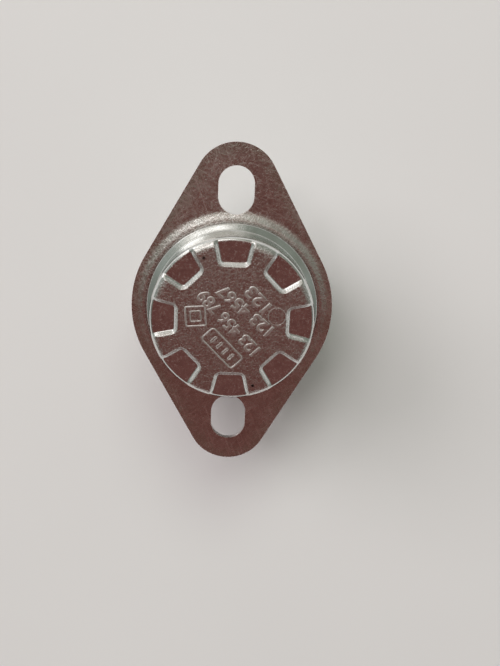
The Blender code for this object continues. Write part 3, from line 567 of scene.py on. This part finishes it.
def make_finishes():
    """Every finish by name."""
    return {
        "cap": finish("drawn_aluminium", cap_colour, cap_roughness, 1.0, cap_normal),
        "mark": finish(
            "worn_aluminium",
            rolled_colour((0.96, 0.96, 0.95), (0.88, 0.87, 0.85), 6.0),
            grained_roughness(0.38, 0.14, 5.0),
            1.0,
            grained_normal(0.006 * MM, 6.0),
        ),
        "bracket": finish("plated_steel", plate_colour, plate_roughness, 1.0, plate_normal),
        "moulding": finish(
            "black_phenolic",
            rolled_colour((0.012, 0.0115, 0.011), (0.03, 0.028, 0.027), 3.0),
            grained_roughness(0.34, 0.16),
            0.0,
            grained_normal(0.004 * MM),
        ),
        "tab": finish(
            "tinned_brass",
            rolled_colour((0.74, 0.73, 0.70), (0.62, 0.60, 0.56)),
            rolled_roughness(0.2, 0.16),
            1.0,
            rolled_normal(0.003 * MM),
        ),
        "rivet": finish(
            "nickelled_brass",
            rolled_colour((0.76, 0.72, 0.64), (0.62, 0.57, 0.49), 2.0),
            grained_roughness(0.22, 0.12),
            1.0,
            grained_normal(0.003 * MM, 5.0),
        ),
        "button": finish(
            "red_plastic",
            rolled_colour((0.52, 0.03, 0.024), (0.44, 0.026, 0.022), 1.5),
            grained_roughness(0.3, 0.12),
            0.0,
            grained_normal(0.003 * MM),
        ),
        "bimetal": finish(
            "bimetal_sheet",
            rolled_colour((0.56, 0.53, 0.48), (0.46, 0.43, 0.38)),
            grained_roughness(0.28, 0.14),
            1.0,
            grained_normal(0.002 * MM),
        ),
        "ceramic": finish(
            "plain_ceramic",
            rolled_colour((0.86, 0.84, 0.79), (0.78, 0.75, 0.70), 2.5),
            grained_roughness(0.42, 0.2),
            0.0,
            grained_normal(0.004 * MM, 14.0),
        ),
        "bronze": finish(
            "spring_bronze",
            rolled_colour((0.74, 0.46, 0.24), (0.62, 0.36, 0.18)),
            rolled_roughness(0.24, 0.14),
            1.0,
            rolled_normal(0.002 * MM),
        ),
        "brass": finish(
            "strip_brass",
            rolled_colour((0.80, 0.62, 0.32), (0.68, 0.50, 0.24)),
            rolled_roughness(0.24, 0.14),
            1.0,
            rolled_normal(0.002 * MM),
        ),
        "silver": finish(
            "contact_silver",
            rolled_colour((0.90, 0.89, 0.86), (0.76, 0.74, 0.70), 2.0),
            grained_roughness(0.2, 0.14),
            1.0,
            grained_normal(0.002 * MM),
        ),
    }


# Modelling helpers


def deselect():
    if bpy.context.mode != "OBJECT":
        bpy.ops.object.mode_set(mode="OBJECT")
    bpy.ops.object.select_all(action="DESELECT")


def activate(obj):
    deselect()
    obj.select_set(True)
    bpy.context.view_layer.objects.active = obj
    return obj


def arc(centre, radii, start, end, steps):
    """Points on an arc or on a quarter of an ellipse, both ends included, in degrees."""
    across, up = radii if isinstance(radii, tuple) else (radii, radii)
    points = []
    for i in range(steps + 1):
        angle = math.radians(start + (end - start) * i / steps)
        points.append((centre[0] + across * math.cos(angle), centre[1] + up * math.sin(angle)))
    return points


def line(start, end, steps):
    """Points on a straight line, without its start."""
    return [
        (
            start[0] + (end[0] - start[0]) * i / steps,
            start[1] + (end[1] - start[1]) * i / steps,
        )
        for i in range(1, steps + 1)
    ]


def wire_object(name, points, closed):
    """An object that holds one chain of edges."""
    mesh = bpy.data.meshes.new(name)
    count = len(points)
    edges = [(i, i + 1) for i in range(count - 1)]
    if closed:
        edges.append((count - 1, 0))
    mesh.from_pydata(points, edges, [])
    obj = bpy.data.objects.new(name, mesh)
    bpy.context.scene.collection.objects.link(obj)
    return activate(obj)


def tidy_mesh(obj):
    """Merges doubled points and points the faces outwards."""
    activate(obj)
    bpy.ops.object.mode_set(mode="EDIT")
    bpy.ops.mesh.select_all(action="SELECT")
    bpy.ops.mesh.remove_doubles(threshold=MERGE_DISTANCE)
    bpy.ops.mesh.normals_make_consistent(inside=False)
    bpy.ops.object.mode_set(mode="OBJECT")


def spun(name, profile, steps):
    """Spins a section of (radius, height) pairs round the cap's axis."""
    obj = wire_object(name, [(radius, 0.0, height) for radius, height in profile], False)
    bpy.ops.object.mode_set(mode="EDIT")
    bpy.ops.mesh.select_all(action="SELECT")
    bpy.ops.mesh.spin(steps=steps, angle=math.tau, center=(0.0, 0.0, 0.0), axis=(0.0, 0.0, 1.0))
    bpy.ops.object.mode_set(mode="OBJECT")
    tidy_mesh(obj)
    return obj


def round_edges(obj, width, segments, angle):
    """Rounds every edge sharper than an angle in degrees."""
    activate(obj)
    bevel = obj.modifiers.new("rounded_edges", "BEVEL")
    bevel.width = width
    bevel.segments = segments
    bevel.limit_method = "ANGLE"
    bevel.angle_limit = math.radians(angle)
    bevel.use_clamp_overlap = True
    bpy.ops.object.modifier_apply(modifier=bevel.name)


def shade(obj, angle):
    activate(obj)
    bpy.ops.object.shade_smooth_by_angle(angle=math.radians(angle))


def dress(obj, body, slot, look, *nodes):
    """Gives a finished piece its material and body, and hides the nodes that it stands for. The slot
    is not used.
    """
    obj.data.materials.clear()
    obj.data.materials.append(look)
    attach(obj, body)
    if nodes:
        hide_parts(*nodes)


# Cap


def eased(share, ease):
    """A straight ramp from 0 to 1 with its two ends rounded."""
    share = min(max(share, 0.0), 1.0)
    slope = 1.0 / (1.0 - ease)
    if share < ease:
        return slope * share * share / (2 * ease)
    if share > 1.0 - ease:
        return 1.0 - slope * (1.0 - share) ** 2 / (2 * ease)
    return slope * (share - ease / 2)


def notch_share(radius, angle):
    """How far a point of the face lies inside a notch: 0 on the face, 1 on a floor."""
    sector = math.tau / NOTCHES
    offset = abs((angle - math.pi / 2 + sector / 2) % sector - sector / 2)
    along = radius * math.cos(offset)
    across = radius * math.sin(offset)
    half = NOTCH_INNER_HALF + (along - NOTCH_INNER) * math.tan(NOTCH_SIDE_ANGLE)
    past_side = (across - half) * math.cos(NOTCH_SIDE_ANGLE) + NOTCH_CORNER
    past_end = NOTCH_INNER - along + NOTCH_CORNER
    outside = math.hypot(max(past_side, 0.0), max(past_end, 0.0))
    outside += min(max(past_side, past_end), 0.0) - NOTCH_CORNER
    return eased(1.0 - outside / NOTCH_WALL, NOTCH_EASE)


def face_height(radius):
    """Height of the face and of its rounded edge at a radius."""
    start = CAP_RADIUS - EDGE_WIDTH
    if radius <= start:
        return FACE_LEVEL
    share = min((radius - start) / EDGE_WIDTH, 1.0)
    return FACE_LEVEL - EDGE_DEPTH * (1.0 - math.sqrt(1.0 - share * share))


def floor_height(radius):
    """Height of a notch's floor, which rolls over the rim."""
    level = FACE_LEVEL - NOTCH_DEPTH
    start = CAP_RADIUS - NOTCH_RIM_RADIUS
    if radius <= start:
        return level
    share = min((radius - start) / NOTCH_RIM_RADIUS, 1.0)
    return level - NOTCH_RIM_RADIUS * (1.0 - math.sqrt(1.0 - share * share))


def cap_section():
    """Outer section from the centre of the face down to the crimp, then the inner side."""
    radii = [ring * MM for ring in FACE_RINGS]
    inner = NOTCH_INNER - NOTCH_WALL
    radii += [inner + (i - 1) * NOTCH_RING_STEP * MM for i in range(NOTCH_RINGS)]
    radii += [ring * MM for ring in OUTER_RINGS]
    outline = [(radius, FACE_LEVEL) for radius in radii]
    start = CAP_RADIUS - EDGE_WIDTH
    outline += arc((start, FACE_LEVEL - EDGE_DEPTH), (EDGE_WIDTH, EDGE_DEPTH), 90, 0, 14)
    low = FACE_LEVEL - NOTCH_DEPTH - NOTCH_RIM_RADIUS
    outline += line(outline[-1], (CAP_RADIUS, low - 0.1 * MM), 2)
    cone_top = FOOT_LEVEL + FOOT_RISE
    outline += line(outline[-1], (CAP_RADIUS, cone_top + FOOT_FILLET), 3)
    steep = math.degrees(math.atan2(FOOT_RISE, FOOT_CONE))
    corner = (CAP_RADIUS + FOOT_FILLET, cone_top + FOOT_FILLET)
    outline += arc(corner, FOOT_FILLET, 180, 270 - steep, 5)[1:]
    top = (BEAD_RADIUS - FOOT_ROLL, FOOT_LEVEL - FOOT_ROLL)
    roll = arc(top, FOOT_ROLL, 90 - steep, 0, 6)
    outline += line(outline[-1], roll[0], 4) + roll[1:]
    low_edge = (BEAD_RADIUS - BEAD_ROUNDING, SEAT_LEVEL + BEAD_ROUNDING)
    outline += arc(low_edge, BEAD_ROUNDING, 0, -90, 4)
    outline += [(CAP_RADIUS, SEAT_LEVEL), (CAP_RADIUS, BACK_BEAD_TOP)]
    bead = (BACK_BEAD_RADIUS - BACK_BEAD_ROUNDING, BACK_BEAD_TOP - BACK_BEAD_ROUNDING)
    outline += [(bead[0], BACK_BEAD_TOP)]
    outline += arc(bead, BACK_BEAD_ROUNDING, 75, -60, 6)
    outline += [(CAP_RADIUS + BACK_BEAD_TOE, BACK_BEAD_TOP - BACK_BEAD_TOE_DROP)]
    outline += [(CAP_RADIUS, BACK_BEAD_TOP - BACK_BEAD_DROP)]
    mouth = SHOULDER - CAP_SHEET
    crimp = (CAP_RADIUS - CRIMP_RADIUS, mouth + CRIMP_RADIUS)
    outline += arc(crimp, CRIMP_RADIUS, 0, -90, 8)
    outline += [(CRIMP_MOUTH + CRIMP_BEVEL, mouth), (CRIMP_MOUTH, mouth + CRIMP_BEVEL)]
    outline += [(CRIMP_MOUTH, SHOULDER), (WALL_INNER, SHOULDER), (WALL_INNER, WALL_INNER_TOP)]
    outline += [(NOTCH_UNDER_OUTER, NOTCH_UNDERSIDE), (NOTCH_UNDER_INNER, NOTCH_UNDERSIDE)]
    outline += [(FACE_UNDER_OUTER, FACE_UNDERSIDE), (0.0, FACE_UNDERSIDE)]
    return outline


def build_cap(look):
    """Spins the cup from its section, then presses the notches into its face and rim."""
    cap = spun("cap_shell", cap_section(), CAP_STEPS)
    lowest = FACE_LEVEL - EDGE_DEPTH - ON_LEVEL
    for vert in cap.data.vertices:
        x, y, z = vert.co
        radius = math.hypot(x, y)
        outer = abs(z - face_height(radius)) < ON_FACE
        if z < lowest or not outer or radius < NOTCH_REACH:
            continue
        share = notch_share(radius, math.atan2(y, x))
        vert.co.z = z + share * (floor_height(radius) - z)
    shade(cap, 60)
    dress(cap, "housing", "cap_aluminium", look, "sensing_cap")


# Bracket


def bracket_outline():
    """Two round ends and two round flanks joined by their common tangents."""
    lean = math.degrees(math.asin((HALF_WIDTH - END_RADIUS) / END_CENTRE))
    points = arc((0.0, 0.0), HALF_WIDTH, -lean, lean, 24)
    points += arc((0.0, END_CENTRE), END_RADIUS, lean, 180 - lean, 40)
    points += arc((0.0, 0.0), HALF_WIDTH, 180 - lean, 180 + lean, 24)
    points += arc((0.0, -END_CENTRE), END_RADIUS, 180 + lean, 360 - lean, 40)
    return points


def slot_outline(centre_y):
    half = SLOT_WIDTH / 2
    reach = SLOT_LENGTH / 2 - half
    far_end = arc((0.0, centre_y + reach), half, 0, 180, 28)
    return far_end + arc((0.0, centre_y - reach), half, 180, 360, 28)


def flare_section():
    """From the flat of the plate up to the lip, down into the bore and back underneath."""
    slope = math.atan2(LIP_RISE, FLARE_RADIUS - LIP_RADIUS - FLARE_BLEND / 2)
    sweep = FLARE_BLEND / math.sin(slope)
    points = arc((FLARE_RADIUS, PLATE_TOP + sweep), sweep, 270, 270 - math.degrees(slope), 6)
    lip_top = PLATE_TOP + LIP_RISE
    points += line(points[-1], (LIP_RADIUS, lip_top), 2)
    lip_inner = LIP_RADIUS - LIP_WIDTH
    points += [(LIP_RADIUS - LIP_WIDTH / 2, lip_top), (lip_inner, lip_top - LIP_WIDTH / 2)]
    points += [(lip_inner, SEAT_LEVEL), (BORE_RADIUS, SEAT_LEVEL)]
    points += [(BORE_RADIUS, BACK_BEAD_TOP), (BORE_RADIUS + BACK_LAND, BACK_BEAD_TOP)]
    back_run = FLARE_RADIUS - points[-1][0]
    back_rise = BACK_BEAD_TOP - PLATE_BOTTOM
    back_sweep = (back_run**2 + back_rise**2) / (2 * back_rise)
    back_turn = math.degrees(math.asin(back_run / back_sweep))
    back_centre = (FLARE_RADIUS, PLATE_BOTTOM + back_sweep)
    return points + arc(back_centre, back_sweep, 270 - back_turn, 270, 6)[1:]


def cut_slot(plate, centre_y):
    """Cuts one slot through the plate and through the edge of the raised ring."""
    low = PLATE_BOTTOM - CUTTER_DROP
    cutter = wire_object("slot_cutter", [(x, y, low) for x, y in slot_outline(centre_y)], True)
    bpy.ops.object.mode_set(mode="EDIT")
    bpy.ops.mesh.select_all(action="SELECT")
    bpy.ops.mesh.remove_doubles(threshold=MERGE_DISTANCE)
    bpy.ops.mesh.edge_face_add()
    bpy.ops.mesh.extrude_region_move(TRANSFORM_OT_translate={"value": (0, 0, CUTTER_HEIGHT)})
    bpy.ops.mesh.select_all(action="SELECT")
    bpy.ops.mesh.normals_make_consistent(inside=False)
    bpy.ops.object.mode_set(mode="OBJECT")
    activate(plate)
    cut = plate.modifiers.new("slot", "BOOLEAN")
    cut.operation = "DIFFERENCE"
    cut.solver = "EXACT"
    cut.object = cutter
    bpy.ops.object.modifier_apply(modifier=cut.name)
    bpy.data.objects.remove(cutter)


def build_bracket(look):
    """Fills the flat plate between its outlines, gives it its thickness, rolls its edges and
    joins the raised ring to it."""
    ring = spun("bracket_ring", flare_section(), RING_STEPS)
    plate = wire_object("bracket_plate", [(x, y, PLATE_TOP) for x, y in bracket_outline()], True)
    bore = arc((0.0, 0.0), FLARE_RADIUS, 0, 360, RING_STEPS)[:-1]
    bore_loop = wire_object("bore_loop", [(x, y, PLATE_TOP) for x, y in bore], True)
    deselect()
    plate.select_set(True)
    bore_loop.select_set(True)
    bpy.context.view_layer.objects.active = plate
    bpy.ops.object.join()
    bpy.ops.object.mode_set(mode="EDIT")
    bpy.ops.mesh.select_all(action="SELECT")
    bpy.ops.mesh.remove_doubles(threshold=MERGE_DISTANCE)
    bpy.ops.mesh.fill(use_beauty=True)
    bpy.ops.mesh.select_all(action="SELECT")
    bpy.ops.mesh.extrude_region_move(TRANSFORM_OT_translate={"value": (0, 0, -BRACKET_SHEET)})
    bpy.ops.mesh.select_all(action="DESELECT")
    bpy.ops.object.mode_set(mode="OBJECT")
    for polygon in plate.data.polygons:
        radii = [math.hypot(*plate.data.vertices[i].co[:2]) for i in polygon.vertices]
        on_bore = all(abs(radius - FLARE_RADIUS) < ON_LEVEL for radius in radii)
        polygon.select = on_bore and abs(polygon.normal.z) < 0.5
    bpy.ops.object.mode_set(mode="EDIT")
    bpy.ops.mesh.select_mode(type="FACE")
    bpy.ops.mesh.delete(type="FACE")
    bpy.ops.mesh.select_mode(type="VERT")
    bpy.ops.object.mode_set(mode="OBJECT")
    deselect()
    ring.select_set(True)
    plate.select_set(True)
    bpy.context.view_layer.objects.active = plate
    bpy.ops.object.join()
    tidy_mesh(plate)
    for side in (1, -1):
        cut_slot(plate, side * SLOT_CENTRE)
    round_edges(plate, EDGE_ROLL, 3, 60)
    shade(plate, 50)
    for polygon in plate.data.polygons:
        depths = [abs(polygon.center.z - level) for level in (PLATE_TOP, PLATE_BOTTOM)]
        if min(depths) < ON_LEVEL and abs(polygon.normal.z) > 0.9999:
            polygon.use_smooth = False
    dress(plate, "housing", "bracket_steel", look, "mounting_bracket")


# Raised marks


def seat_mark(obj, look):
    shade(obj, 40)
    dress(obj, "housing", "cap_aluminium", look)


def figure_row(name, words, start, end, look):
    """A row of plain figures from start to end, in relief on the face."""
    deselect()
    bpy.ops.object.text_add(location=(0.0, 0.0, 0.0))
    text = bpy.context.object
    text.name = name
    text.data.body = words
    text.data.align_x = "CENTER"
    text.data.align_y = "CENTER"
    text.data.resolution_u = 5
    text.data.offset = FIGURE_THINNING
    text.data.bevel_depth = FIGURE_ROUNDING
    text.data.bevel_resolution = 3
    bpy.ops.object.convert(target="MESH")
    row = bpy.context.object
    row.name = name
    bpy.ops.object.mode_set(mode="EDIT")
    bpy.ops.mesh.select_all(action="SELECT")
    bpy.ops.mesh.remove_doubles(threshold=FIGURE_MERGE)
    bpy.ops.object.mode_set(mode="OBJECT")
    xs = [vert.co.x for vert in row.data.vertices]
    ys = [vert.co.y for vert in row.data.vertices]
    run = Vector((end[0] - start[0], end[1] - start[1])) * MM
    middle = Vector((end[0] + start[0], end[1] + start[1])) * MM / 2
    wide = run.length / (max(xs) - min(xs))
    tall = FIGURE_HEIGHT / (max(ys) - min(ys))
    size = Matrix.Diagonal((wide, tall, MARK_HEIGHT / FIGURE_ROUNDING, 1.0))
    centre = Matrix.Translation((-(max(xs) + min(xs)) / 2, -(max(ys) + min(ys)) / 2, 0.0))
    turn = Matrix.Rotation(math.atan2(run.y, run.x), 4, "Z")
    row.data.transform(Matrix.Translation((*middle, FACE_LEVEL)) @ turn @ size @ centre)
    seat_mark(row, look)


def wire_mark(name, outline, radius, look):
    """A round ridge along a closed outline of (x, y) pairs in millimetres, half in the face."""
    ridge = wire_object(name, [(x * MM, y * MM, FACE_LEVEL) for x, y in outline], True)
    bpy.ops.object.convert(target="CURVE")
    ridge.data.bevel_depth = radius
    ridge.data.bevel_resolution = 3
    bpy.ops.object.convert(target="MESH")
    seat_mark(bpy.context.object, look)


def framed(centre, half_length, half_width, corner, heading):
    """A rectangle with round corners, turned to a heading in degrees."""
    points = []
    for x_side, y_side, start in ((1, 1, 0), (-1, 1, 90), (-1, -1, 180), (1, -1, 270)):
        middle = (x_side * (half_length - corner), y_side * (half_width - corner))
        points += arc(middle, corner, start, start + 90, 6)
    turn = math.radians(heading)
    cos, sin = math.cos(turn), math.sin(turn)
    return [(centre[0] + x * cos - y * sin, centre[1] + x * sin + y * cos) for x, y in points]


def build_marks(look):
    """Rows of plain figures, plain frames, bars along the last frame, and a faint ring."""
    for index, (words, start, end) in enumerate(MARK_ROWS, 1):
        figure_row(f"face_figures_{index}", words, start, end, look)
    for name, centre, half_length, half_width, corner, lean, share in FRAMES:
        outline = framed(centre, half_length, half_width, corner, lean)
        wire_mark(name, outline, STROKE_RADIUS * share, look)
    _, (x, y), _, _, _, lean, _ = FRAMES[-1]
    turn = math.radians(lean)
    for index, step in enumerate(BAR_STEPS, 1):
        at = (x + step * math.cos(turn), y + step * math.sin(turn))
        wire_mark(f"face_bar_{index}", framed(at, *BAR_SHAPE, lean), STROKE_RADIUS * BAR_STROKE, look)
    faint = arc(RING_CENTRE, RING_RADIUS, 0, 360, 40)[:-1]
    wire_mark("face_ring", faint, STROKE_RADIUS * RING_STROKE, look)


# Moulding, terminals, rivets, button and contacts


def refined(node, body, slot, look, width):
    """A finished copy of a frame node, with its flat faces merged and its sharp edges rounded."""
    source = NODES[node]
    piece = bpy.data.objects.new(f"{node}_finished", source.data.copy())
    bpy.context.scene.collection.objects.link(piece)
    piece.data.transform(source.matrix_world)
    tidy_mesh(piece)
    bpy.ops.object.mode_set(mode="EDIT")
    bpy.ops.mesh.select_all(action="SELECT")
    bpy.ops.mesh.dissolve_limited(angle_limit=math.radians(0.3))
    bpy.ops.object.mode_set(mode="OBJECT")
    round_edges(piece, width, 3, 40)
    shade(piece, 35)
    dress(piece, body, slot, look, node)


# Table, light and camera


def build_table():
    """A plain pale table, a little uneven in tone."""
    deselect()
    bpy.ops.mesh.primitive_plane_add(size=TABLE_SIZE, location=(0.0, 0.0, FLOOR_LEVEL))
    table = bpy.context.object
    table.name = "table"

    def colour(graph):
        patches = graph.noise(graph.place(), 0.02, 3.0, 0.5).between(0.3, 0.7)
        return graph.mixed(patches, (0.748, 0.732, 0.744), (0.734, 0.718, 0.730))

    table.data.materials.append(finish("table_top", colour, 0.55))


def build_world():
    """A room with a dim reddish ceiling, a broad pale window beyond the bracket's far end, dull
    walls, and the pale backdrop all round near the level of the table."""
    world = bpy.data.worlds.new("studio")
    bpy.context.scene.world = world
    world.use_nodes = True
    graph = Graph(world.node_tree)
    background = world.node_tree.nodes["Background"]
    direction = graph.node("ShaderNodeTexCoord", output="Generated")

    def facing(azimuth, elevation):
        towards = tuple(heading(azimuth, elevation))
        return graph.node(
            "ShaderNodeVectorMath", {"operation": "DOT_PRODUCT"}, (direction, towards), output=1
        )

    walls = graph.mixed(facing(90, 0).between(-0.5, 0.6), DIM_WALL, PALE_WALL)
    ceiling = graph.mixed(facing(270, 58).between(0.56, 0.8), walls, CEILING)
    glossy = graph.node("ShaderNodeLightPath", output="Is Glossy Ray")
    window = facing(88, 40).between(0.66, 0.88) * glossy
    lit = graph.mixed(window, ceiling, WINDOW)
    rise = graph.parts(direction)[2]
    dark_side = facing(50, 38).between(0.84, 0.93) * glossy
    lit = graph.mixed(dark_side, lit, DARK_SIDE)
    backdrop = 1.0 - rise.between(0.08, 0.3)
    room = graph.mixed(backdrop * glossy, lit, BACKDROP)
    spots = [facing(*place).between(start, full) for *place, start, full in LAMP_SPOTS]
    shining = graph.mixed(sum(spots).clamped() * glossy, room, LAMP_GLOW)
    camera_ray = graph.node("ShaderNodeLightPath", output="Is Camera Ray")
    seen = graph.mixed(camera_ray, shining, BACKDROP)
    world.node_tree.links.new(seen.socket, background.inputs["Color"])
    strength = (glossy + camera_ray).clamped() * (1.0 - ROOM_STRENGTH) + ROOM_STRENGTH
    world.node_tree.links.new(strength.socket, background.inputs["Strength"])


def heading(azimuth, elevation):
    """The unit vector towards an azimuth, from +X towards +Y, and an elevation, in degrees."""
    around = math.radians(azimuth)
    rise = math.radians(elevation)
    level = math.cos(rise)
    return Vector((math.cos(around) * level, math.sin(around) * level, math.sin(rise)))


def add_light(name, azimuth, elevation, power, colour):
    """A round soft lamp that looks at the object and isn't mirrored in it."""
    towards = heading(azimuth, elevation)
    light = bpy.data.lights.new(name, "AREA")
    light.shape = "DISK"
    light.size = LAMP_SIZE
    light.energy = power
    light.color = colour
    lamp = bpy.data.objects.new(name, light)
    bpy.context.scene.collection.objects.link(lamp)
    lamp.location = towards * LAMP_DISTANCE
    lamp.rotation_euler = towards.to_track_quat("Z", "Y").to_euler()
    lamp.visible_glossy = False


def build_camera():
    """The photograph's view: a phone held above, a little towards the bracket's far end."""
    back = CAMERA_BACK.normalized()
    up = back.cross(CAMERA_RIGHT).normalized()
    right = up.cross(back)
    camera_data = bpy.data.cameras.new("camera")
    camera_data.sensor_width = SENSOR_WIDTH
    camera_data.lens = SENSOR_WIDTH * FOCAL_PIXELS / PICTURE_HEIGHT
    camera_data.clip_start = 0.005
    camera_data.clip_end = 10.0
    camera = bpy.data.objects.new("camera", camera_data)
    bpy.context.scene.collection.objects.link(camera)
    axes = Matrix((right, up, back)).transposed().to_4x4()
    camera.matrix_world = Matrix.Translation(CAMERA_PLACE * MM) @ axes
    bpy.context.scene.camera = camera


def recolour(node, look):
    """Puts a finish in every material slot of a frame node."""
    obj = NODES[node]
    if not obj.material_slots:
        obj.data.materials.append(look)
    for slot in obj.material_slots:
        slot.material = look


def main():
    looks = make_finishes()
    build_camera()
    build_world()
    for lamp in LAMPS:
        add_light(*lamp)
    build_table()
    build_cap(looks["cap"])
    build_bracket(looks["bracket"])
    build_marks(looks["mark"])
    for node, body, slot, look, width in REFINED:
        refined(node, body, slot, looks[look], width * MM)
    recolour("bimetal_disc", looks["bimetal"])


main()
bpy.context.scene.view_settings.view_transform = "Standard"
